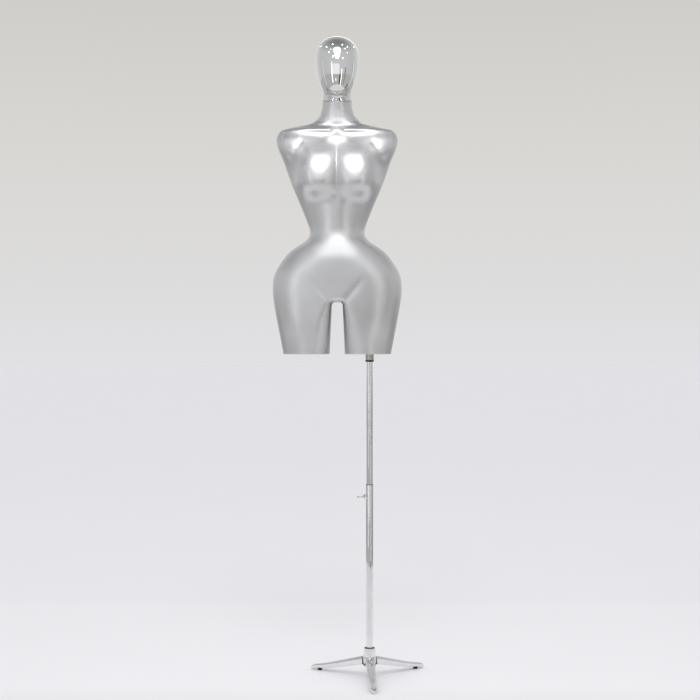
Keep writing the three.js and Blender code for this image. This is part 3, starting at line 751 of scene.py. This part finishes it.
def grey_board():
    n = Nodes("grey_board")
    speckle = n.noise(320, 5)
    colour = n.ramp(speckle, (0.35, (0.3, 0.31, 0.32)), (0.65, (0.42, 0.43, 0.44)))
    rough = n.ramp(n.noise(80, 3), (0.3, 0.55), (0.7, 0.7))
    return n.finish(colour, rough, n.bump(speckle, 0.00006, 0.5))


def magnet_grey():
    n = Nodes("magnet_grey", metallic=0.7)
    grit = n.noise(700, 4)
    colour = n.ramp(grit, (0.3, (0.1, 0.1, 0.105)), (0.7, (0.17, 0.17, 0.175)))
    rough = n.ramp(grit, (0.3, 0.4), (0.7, 0.6))
    return n.finish(colour, rough, n.bump(grit, 0.00005, 0.5))


# The floor's colour by depth: a share of the span from just in front of the pole to well behind
FLOOR_SPAN = (-0.5, 3.5)
# The first, darker stop is painted shade: the floor darkens towards its front edge, in front of the pole.
FLOOR_TONES_WITH_FRONT_SHADE = [(0, (0.75, 0.745, 0.76)), (0.09, (0.88, 0.87, 0.905)),
               (0.428, (0.875, 0.865, 0.9)), (0.432, (0.86, 0.852, 0.89)),
               (1, (0.895, 0.89, 0.93))]


def pale_floor():
    n = Nodes("pale_floor")
    n.shader.inputs["Specular IOR Level"].default_value = 0.2
    apart = n.node("ShaderNodeSeparateXYZ")
    n.link(n.place, apart.inputs[0])
    near, far = FLOOR_SPAN
    # Painted shade: the floor's colour gets darker towards its front edge.
    tone_by_depth_and_front_shade = n.ramp(spread(n.tree, apart.outputs["Y"], POLE.y + near, POLE.y + far), *FLOOR_TONES_WITH_FRONT_SHADE)
    colour = n.mix(0.15, tone_by_depth_and_front_shade, n.ramp(n.noise(1.5, 3), (0.3, 0.83), (0.7, 0.87)))
    rough = n.ramp(n.noise(3, 3), (0.3, 0.6), (0.7, 0.7))
    return n.finish(colour, rough)


SLOT_MATERIALS = {
    "silver_shell": silver_paint(), "mirror_head": mirror_chrome(),
    "chrome_stand": stand_chrome(), "bronzed_socket": bronzed_steel(),
    "steel_hardware": zinc_steel(), "black_rubber": black_rubber(),
    "black_plastic": black_plastic(), "grey_board": grey_board(), "magnet": magnet_grey(),
}


def dress_cad_nodes():
    """Give every carried-over CAD node its slot's material."""
    for entry in frame["record"]["subparts"]:
        node = frame["nodes"][entry["node"]]
        node.data.materials.clear()
        node.data.materials.append(SLOT_MATERIALS[entry["material_slot"]])


# ------------------------------------------------------------------ body and head pieces
def neck_plane(offset):
    outward = np.array([0, -math.sin(NECK_LEAN), math.cos(NECK_LEAN)])
    return NECK_MIDDLE + outward * offset, outward


def make_torso():
    top, up = neck_plane(0)
    ends = [((0, 0, THIGH_END), (0, 0, -1)), (top, up)]
    low, high = (-232, -150, THIGH_END - 14), (232, 170, 1962)
    built = shell(body_form, low, high, BODY_CELL, BODY_WALL, ends)
    new_piece("torso", form_mesh("torso", built), "silver_shell", "torso", "torso_shell")


def make_head():
    seam, up = neck_plane(NECK_SEAM)
    low, high = (-84, -112, 1905), (84, 112, CROWN + 9)
    built = shell(head_form, low, high, HEAD_CELL, HEAD_WALL, [(seam, -up)])
    new_piece("head", form_mesh("head", built), "mirror_head", "head", "head_shell")


CAP_GAP = 0.4  # between a cap's edge and the shell
CAP_THICKNESS = 4
CAP_HOLE = 14.1  # radius of the socket's hole


def cap_rings(edge, slope):
    """The cap's outline from its top down to the rounded lower edge."""
    return [(edge, THIGH_END + CAP_THICKNESS), (edge, THIGH_END + 0.6),
            (edge - slope * 0.25, THIGH_END + 0.15), (edge - slope * 0.7, THIGH_END)]


def make_thigh_cap(name, middle, pierced):
    """A flat plate that closes a thigh just inside the shell's rim."""
    edge, slope = outline(THIGH_END, middle, BODY_WALL + CAP_GAP)
    count = len(edge)
    rings = cap_rings(edge, slope)
    if pierced:
        turns = np.linspace(0, 2 * math.pi, count, endpoint=False)
        hole = np.array(middle) + CAP_HOLE * np.stack([np.cos(turns), np.sin(turns)], 1)
        rings += [(hole, THIGH_END), (hole, THIGH_END + CAP_THICKNESS)]
    points = [np.column_stack([xy, np.full(count, z)]) for xy, z in rings]
    faces = [face[::-1] for face in bands(count, len(rings), closed=pierced)]
    if not pierced:
        bottom = (len(rings) - 1) * count
        faces.append([bottom + i for i in range(count)][::-1])
        faces.append(list(range(count)))
    mesh = mesh_of(name, to_row(np.concatenate(points)), faces)
    mesh.set_sharp_from_angle(angle=CREASE)
    new_piece("lower_" + name, mesh, "silver_shell", "torso", name)


def make_thigh_caps():
    make_thigh_cap("thigh_cap_pole_side", ((POLE.x - BODY.x) / MM, 0), pierced=True)
    make_thigh_cap("thigh_cap_free_side", (-103, 3), pierced=False)


# ------------------------------------------------------------------ stand pieces
def heights(node):
    low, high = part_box(node)
    return low.z / MM, high.z / MM


def ring_profile(inner, outer, low, high):
    return [(inner, low), (outer, low), (outer, high), (inner, high)]


def pole_piece(name, profile, round_by, slot, body, node):
    """A hollow turned part on the pole's axis."""
    mesh = placed(turned(name, profile, FINE, round_by, closed=True), (POLE.x, POLE.y, 0))
    new_piece(name, mesh, slot, body, node)


def make_poles():
    low, high = heights("lower_pole")
    inside, outside, mouth = 10.9, 12, 11.6
    mouth_floor = high - 12.5
    profile = [(inside, low), (outside, low), (outside, high), (mouth, high),
               (mouth, mouth_floor), (inside, mouth_floor)]
    pole_piece("pole_outer", profile, 0.25, "chrome_stand", "base", "lower_pole")
    profile = ring_profile(9.4, 10.4, *heights("upper_pole"))
    pole_piece("pole_inner", profile, 0.25, "chrome_stand", "mast", "upper_pole")


def make_guide_bush():
    """A sleeve in the outer pole's mouth, with a lip that shows on top of it."""
    low, above = heights("guide_ring")
    lip_floor, high = above - 3, above - 1.6
    inside, outside, lip = 10.6, 11.35, 12.3
    profile = [(inside, low), (outside, low), (outside, lip_floor), (lip, lip_floor),
               (lip, high), (inside, high)]
    pole_piece("guide_bush", profile, 0.35, "black_plastic", "base", "guide_ring")


def make_socket():
    """The receiver tube with one shallow groove near its mouth, and the ring under it."""
    low, high = heights("socket_tube")
    inside, outside, groove = 10.8, 13.75, 13.45
    profile = [(inside, low), (outside, low), (outside, low + 4), (groove, low + 4.6),
               (groove, low + 6), (outside, low + 6.6), (outside, high), (inside, high)]
    pole_piece("socket", profile, 0.35, "bronzed_socket", "torso", "socket_tube")
    profile = ring_profile(inside, 14.05, *heights("socket_gasket"))
    pole_piece("socket_seal", profile, 0.9, "black_rubber", "torso", "socket_gasket")


def make_hub():
    """The casting: a wide foot, a waist with one groove and a cup for the pole's collar."""
    low, high = heights("hub_body")
    bolt_hole, foot, step, waist, groove = 4.2, 22.8, 20.1, 19.3, 18.9
    cup_edge, cup, pole_hole = 17.8, 16.7, 12.3
    shoulder, cup_floor, hub_floor = low + 20, high - 5, low + 4
    profile = [
        (bolt_hole, low), (foot, low), (foot, shoulder - 1), (foot - 1, shoulder),
        (step, shoulder), (waist, shoulder + 1), (waist, high - 8), (groove, high - 7.4),
        (groove, high - 6.2), (waist, high - 5.6), (waist, high - 1.5), (cup_edge, high),
        (cup, high), (cup, cup_floor), (pole_hole, cup_floor), (pole_hole, hub_floor),
        (bolt_hole, hub_floor)]
    pole_piece("hub", profile, 0.5, "chrome_stand", "base", "hub_body")
    profile = ring_profile(pole_hole, 16.4, *heights("pole_seat_ring"))
    pole_piece("pole_collar", profile, 0.9, "black_plastic", "base", "pole_seat_ring")


LEG_ANGLES = {"front": -87, "right": 33, "left": 153}
# Reach from the pole's axis, half width, underside, top.
LEG_SECTIONS = np.array([
    [20, 16.6, 41.4, 66.4],
    [60, 15.6, 32.5, 55.6],
    [100, 14.4, 23.5, 44.4],
    [131, 13.5, 17, 35.8],
    [160, 12.2, 10.5, 28.2],
    [180, 11.2, 9.2, 23.5],
    [200, 10.4, 8.5, 20],
    [212, 9, 4.5, 17.5],
    [219, 6.5, 2.6, 14],
    [222, 3, 3, 9],
])


TOE = 210  # reach at which the groove has run out
GROOVE_RUN = 190
GROOVE_SHARE = (0.06, 0.64)  # of the half width: at the toe, and added towards the hub
GROOVE_DEPTH = 0.62  # of the groove's half width


def leg_ring(reach, half, bottom, top):
    """One cross-section, from the groove's valley round the right flank and back."""
    run = min(max((TOE - reach) / GROOVE_RUN, 0), 1)
    groove = half * (GROOVE_SHARE[0] + GROOVE_SHARE[1] * run)
    valley = top - GROOVE_DEPTH * groove * run
    edge = top - (top - bottom) * 0.2
    foot = bottom + (top - bottom) * 0.1
    right = [(groove * 0.12, valley + (top - valley) * 0.06), (groove * 0.9, top - 0.5),
             (groove, top), (groove * 1.12 + 0.4, top - 0.25), (half - 1.2, edge + 1.0),
             (half - 0.25, edge + 0.1), (half, edge - 1.2), (half, foot + 1),
             (half * 0.97, foot - 0.4), (half * 0.85, bottom)]
    left = [(-y, z) for y, z in reversed(right)]
    return [(reach, y, z) for y, z in [(0, valley), *right, *left]]


def leg_mesh(name):
    """A cast leg: bevelled flanks, rounded toe and a V groove that runs out before it."""
    reaches = np.concatenate([np.linspace(20, 200, 46), np.linspace(203, 222, 14)])
    columns = [np.interp(reaches, LEG_SECTIONS[:, 0], LEG_SECTIONS[:, k]) for k in (1, 2, 3)]
    window = 5
    smooth = [np.convolve(np.pad(c, window // 2, "edge"), np.ones(window) / window, "valid")
              for c in columns]
    rings = [leg_ring(*row) for row in zip(reaches, *smooth)]
    count = len(rings[0])
    faces = bands(count, len(rings))
    faces.append(list(range(count))[::-1])
    faces.append([(len(rings) - 1) * count + i for i in range(count)])
    points = np.array([p for ring in rings for p in ring]) * MM
    mesh = mesh_of(name, points, faces)
    mesh.set_sharp_from_angle(angle=math.radians(50))
    return mesh


PAD_PROFILE = [(0, 0), (7, 0), (8, 1), (7.6, 3.5), (7, 8.7), (0, 8.7)]


def make_legs():
    for side, angle in LEG_ANGLES.items():
        turn = Matrix.Rotation(math.radians(angle), 3, "Z")
        name = "tripod_leg_" + side
        mesh = placed(leg_mesh(name), (POLE.x, POLE.y, 0), turn)
        new_piece(name, mesh, "chrome_stand", "base", "leg_" + side)
        pad_at = centre_of("foot_pad_" + side)
        pad = placed(turned("pad_" + side, PAD_PROFILE, COARSE, 0.5), (pad_at.x, pad_at.y, 0))
        new_piece("pad_" + side, pad, "black_rubber", "base", "foot_pad_" + side)


CLAMP_AXIS = Vector(joint("clamp_screw_turn")["axis"]).normalized()
CLAMP_AT = Vector((POLE.x, POLE.y, joint("clamp_screw_turn")["pos_m"][2]))
# The clamp's pieces are drawn with +Z pointing out along the screw and +Y up.
CLAMP_TURN = Matrix((UP.cross(CLAMP_AXIS), UP, CLAMP_AXIS)).transposed()


# Turned profiles about the screw's axis, distances from the pole's axis.
CLAMP_LUG = [(3, 11.4), (7.5, 11.4), (7.5, 18.6), (6.6, 20), (3, 20)]
WING_SHANK = [(0, 14.5), (2.7, 14.5), (2.7, 21.8), (4, 21.8), (4, 25.5), (3, 27), (0, 27)]
# Distance from the pole's axis, half width, half thickness
WING_STATIONS = [
    (24, 3.6, 1.7), (27.5, 3.8, 1.7), (30, 5.2, 1.6), (33, 7, 1.6), (36, 7.8, 1.6),
    (39, 8, 1.7), (40.5, 8, 2.0), (41.5, 7.9, 2.4), (42.6, 7.4, 2.4), (43.4, 6.4, 1.6),
]
WING_SIDES = 28
WING_SQUARENESS = (0.5, 0.6)  # powers across and through the blade; 1 is an ellipse


def make_clamp():
    lug = placed(turned("clamp_lug", CLAMP_LUG, MEDIUM, 0.5, closed=True), CLAMP_AT, CLAMP_TURN)
    new_piece("clamp_lug", lug, "chrome_stand", "base", "clamp_boss")
    shank = turned("wing_shank", WING_SHANK, COARSE, 0.4)
    screw = placed(joined("wing_screw", [shank, wing_mesh()]), CLAMP_AT, CLAMP_TURN)
    new_piece("wing_screw", screw, "chrome_stand", "clamp_screw", "clamp_screw")


def wing_mesh():
    """A flat thumb blade with a thicker, rounded outer rim."""
    bm = bmesh.new()
    rings = []
    for along, half, thick in WING_STATIONS:
        ring = []
        for i in range(WING_SIDES):
            t = 2 * math.pi * i / WING_SIDES
            c, s = math.cos(t), math.sin(t)
            x = half * math.copysign(abs(c) ** WING_SQUARENESS[0], c)
            y = thick * math.copysign(abs(s) ** WING_SQUARENESS[1], s)
            ring.append(bm.verts.new((x * MM, y * MM, along * MM)))
        rings.append(ring)
    for low, high in zip(rings, rings[1:]):
        for i in range(WING_SIDES):
            k = (i + 1) % WING_SIDES
            bm.faces.new((low[i], low[k], high[k], high[i]))
    bm.faces.new(rings[0][::-1])
    bm.faces.new(rings[-1])
    bmesh.ops.recalc_face_normals(bm, faces=bm.faces)
    mesh = bpy.data.meshes.new("wing")
    bm.to_mesh(mesh)
    bm.free()
    return mesh


# ------------------------------------------------------------------ stage, light, camera
def flat_mesh(name, points, faces, material):
    mesh = bpy.data.meshes.new(name)
    mesh.from_pydata([tuple(p) for p in points], [], faces)
    mesh.materials.append(material)
    return mesh


def stage_floor():
    reach = 40
    corners = [(-reach, -reach, 0), (reach, -reach, 0), (reach, reach, 0), (-reach, reach, 0)]
    linked("floor", flat_mesh("floor", corners, [(0, 1, 2, 3)], pale_floor()))


# Lights and panels stand round the form: degrees from the camera's side (positive to the
# camera's right), then metres.
def spot_round(azimuth, distance, height):
    turn = math.radians(azimuth)
    return Vector((BODY.x + distance * math.sin(turn), BODY.y - distance * math.cos(turn), height))


def softbox(name, at, look_at, width, height, radiance):
    """An elliptical area light of a given brightness per area."""
    light = bpy.data.lights.new(name, "AREA")
    light.shape = "ELLIPSE"
    light.size, light.size_y = width, height
    area = width * height * math.pi / 4
    light.energy = radiance * math.pi * area
    lamp = linked(name, light)
    lamp.location = at
    lamp.rotation_euler = (look_at - at).to_track_quat("-Z", "Y").to_euler()
    lamp.visible_camera = False


# name, azimuth, distance, height, width, length, radiance
SOFTBOXES = [
    ("key", 1, 1.6, 3.2, 1.5, 1.1, 4.2),
    ("back_high", 178, 2.4, 2.9, 0.7, 0.6, 1.5),
]
# Round ceiling lamps: metres to the camera's right and towards the camera
LAMPS = [(-1.2, 2.4), (0.4, 2.7), (1.9, 2.3), (-2.0, 1.35), (2.5, 0.9), (-1.1, 1.05), (1.2, 0.75),
         (-1.2, 0.1), (1.2, 0.1), (-0.4, 0.3), (0.5, 0.3), (-1.3, -1.4), (1.3, -1.4)]
LAMP_HEIGHT = 3.2
LAMP_SIZE = 0.09
LAMP_RADIANCE = 15
# Upright panels that show only in reflections: azimuth, distance, bottom, top, width, colour
PANELS = {
    "window": (-6, 1.4, 1.86, 2.4, 1.2, (0.98, 0.99, 1.01)),
    "strip_left": (-36, 3.1, 0.1, 2.95, 0.22, (2.7, 2.72, 2.78)),
    "strip_right": (33, 2.0, 0.1, 2.2, 0.13, (3.0, 2.98, 2.95)),
    "low_card": (-9, 3.0, 0.45, 1.05, 0.45, (1.3, 1.3, 1.3)),
    "tube_left": (-95, 2.1, 1.1, 2.6, 0.07, (1.3, 1.3, 1.32)),
    "tube_left_edge": (-98.5, 2.12, 1.1, 2.6, 0.05, (0.2, 0.2, 0.21)),
    "tube_right": (112, 2.1, 1.1, 2.5, 0.08, (1.3, 1.3, 1.32)),
    "tube_right_edge": (107.5, 2.12, 1.0, 2.5, 0.07, (0.16, 0.14, 0.13)),
    "figure": (28, 2.3, 0.0, 1.74, 0.95, (0.18, 0.18, 0.17)),
    "figure_middle": (22, 2.2, 0.0, 1.6, 0.2, (0.03, 0.03, 0.03)),
    "doorway": (58, 2.2, 0.5, 2.35, 0.3, (0.36, 0.29, 0.23)),
    "flag_side": (98, 2.4, 0.0, 1.1, 0.5, (0.26, 0.21, 0.17)),
    "low_flag_left": (-122, 2.3, 0.05, 1.0, 0.9, (0.3, 0.3, 0.3)),
    "low_flag_right": (122, 2.3, 0.05, 1.0, 0.9, (0.3, 0.3, 0.3)),
}
# The floor's far, dimmer part in reflections: inner and outer radius, grey
FLOOR_EDGE = (2.3, 40.0, 0.48)


def switched(tree, factor, off, on):
    """One of two shaders, chosen by a factor of 0 or 1."""
    switch = tree.nodes.new("ShaderNodeMixShader")
    tree.links.new(factor, switch.inputs["Fac"])
    tree.links.new(off, switch.inputs[1])
    tree.links.new(on, switch.inputs[2])
    return switch.outputs[0]


def glow(name, colour):
    """A glowing face that can be seen through from behind."""
    material = bpy.data.materials.new(name)
    material.use_nodes = True
    tree = material.node_tree
    tree.nodes.clear()
    emission = tree.nodes.new("ShaderNodeEmission")
    emission.inputs["Color"].default_value = (*colour, 1)
    clear = tree.nodes.new("ShaderNodeBsdfTransparent")
    behind = tree.nodes.new("ShaderNodeNewGeometry").outputs["Backfacing"]
    seen = switched(tree, behind, emission.outputs[0], clear.outputs[0])
    out = tree.nodes.new("ShaderNodeOutputMaterial")
    tree.links.new(seen, out.inputs["Surface"])
    return material


def reflection_panel(name, azimuth, distance, bottom, top, width, colour):
    at = spot_round(azimuth, distance, 0)
    inward = (Vector((BODY.x, BODY.y, 0)) - at).normalized()
    side = UP.cross(inward) * width / 2
    corners = [at - side + UP * bottom, at + side + UP * bottom,
               at + side + UP * top, at - side + UP * top]
    only_in_reflections(name, corners, [(0, 1, 2, 3)], colour)


def only_in_reflections(name, points, faces, colour):
    panel = linked(name, flat_mesh(name, points, faces, glow(name, colour)))
    panel.visible_camera = False
    panel.visible_diffuse = False
    panel.visible_shadow = False


def floor_edge():
    """A ring just above the floor, seen from above only in reflections."""
    inner, outer, grey = FLOOR_EDGE
    sides = COARSE
    above_floor = 0.003
    turns = [2 * math.pi * i / sides for i in range(sides)]
    points = [(BODY.x + r * math.cos(t), BODY.y + r * math.sin(t), above_floor)
              for r in (inner, outer) for t in turns]
    faces = [(i, sides + i, sides + (i + 1) % sides, (i + 1) % sides) for i in range(sides)]
    only_in_reflections("floor_edge", points, faces, (grey, grey, grey))


CHEST_HEIGHT = 1.65


def light_stage():
    chest = Vector((BODY.x, BODY.y, CHEST_HEIGHT))
    for name, azimuth, distance, height, width, length, radiance in SOFTBOXES:
        softbox(name, spot_round(azimuth, distance, height), chest, width, length, radiance)
    for i, (right, forward) in enumerate(LAMPS):
        at = Vector((BODY.x + right, BODY.y - forward, LAMP_HEIGHT))
        softbox(f"lamp_{i + 1}", at, chest, LAMP_SIZE, LAMP_SIZE, LAMP_RADIANCE)
    for name, values in PANELS.items():
        reflection_panel(name, *values)
    floor_edge()


def world_light(tree, colour):
    background = tree.nodes.new("ShaderNodeBackground")
    tree.links.new(colour, background.inputs["Color"])
    return background.outputs[0]


COOL = (1, 1.003, 1.008)  # tint of the room's greys
# The pale wall behind the form: share of the band round the horizon, colour
WALL_BAND = 0.25
WALL_TONES = [
    (0.1, (0.81, 0.8, 0.855)), (0.32, (0.79, 0.783, 0.823)), (0.46, (0.753, 0.745, 0.768)),
    (0.58, (0.723, 0.716, 0.716)), (0.7, (0.701, 0.694, 0.68)),
    (0.815, (0.672, 0.665, 0.638)), (0.97, (0.631, 0.617, 0.597)),
]
# What reflections see: grey by height, from straight down to straight up, times a factor
# from the camera's side to the far side
ROOM_LEVELS = [(0, 0.62), (0.25, 0.56), (0.42, 0.6), (0.5, 0.64), (0.67, 0.66), (0.75, 0.6),
               (0.885, 0.42), (1, 0.26)]
ROOM_DEPTHS = [(0, 1.0), (0.5, 0.88), (0.7, 0.88), (0.9, 1.05), (1, 1.2)]
EVEN_LIGHT = [(0, 0.8), (1, 0.9)]  # what lights matt surfaces, by height


def reflected_room(tree, height, depth):
    room = tree.nodes.new("ShaderNodeMix")
    room.data_type = "RGBA"
    room.blend_type = "MULTIPLY"
    room.inputs[0].default_value = 1
    tree.links.new(colour_ramp(tree, height, ROOM_LEVELS, COOL), room.inputs[6])
    tree.links.new(colour_ramp(tree, depth, ROOM_DEPTHS, COOL), room.inputs[7])
    return world_light(tree, room.outputs[2])


def studio_world():
    """A pale wall to look at, a plain grey room in reflections and even light otherwise."""
    world = bpy.data.worlds.new("studio")
    bpy.context.scene.world = world
    world.use_nodes = True
    tree = world.node_tree
    tree.nodes.clear()
    place = tree.nodes.new("ShaderNodeTexCoord")
    split = tree.nodes.new("ShaderNodeSeparateXYZ")
    tree.links.new(place.outputs["Generated"], split.inputs[0])
    near_horizon = spread(tree, split.outputs["Z"], -WALL_BAND, WALL_BAND)
    wall = world_light(tree, colour_ramp(tree, near_horizon, WALL_TONES))
    height = spread(tree, split.outputs["Z"], -1, 1)
    room = reflected_room(tree, height, spread(tree, split.outputs["Y"], -1, 1))
    even = world_light(tree, colour_ramp(tree, height, EVEN_LIGHT, COOL))
    path = tree.nodes.new("ShaderNodeLightPath")
    lit = switched(tree, path.outputs["Is Glossy Ray"], even, room)
    seen = switched(tree, path.outputs["Is Camera Ray"], lit, wall)
    out = tree.nodes.new("ShaderNodeOutputWorld")
    tree.links.new(seen, out.inputs["Surface"])


# The camera, from the pole's axis: metres to the left, metres in front, height, degrees down
CAMERA = {"left": 0.066, "in_front": 4.442, "height": 1.1615, "down": 0.8, "lens": 68.03}


def make_camera():
    data = bpy.data.cameras.new("camera")
    data.lens = CAMERA["lens"]
    data.sensor_width = 36
    camera = linked("camera", data)
    camera.location = (POLE.x - CAMERA["left"], POLE.y - CAMERA["in_front"], CAMERA["height"])
    camera.rotation_euler = (math.radians(90 - CAMERA["down"]), 0, 0)
    bpy.context.scene.camera = camera


# ------------------------------------------------------------------ build
make_camera()
dress_cad_nodes()
make_torso()
make_head()
make_thigh_caps()
make_poles()
make_guide_bush()
make_socket()
make_hub()
make_legs()
make_clamp()
stage_floor()
light_stage()
studio_world()
bpy.context.scene.view_settings.view_transform = "Standard"
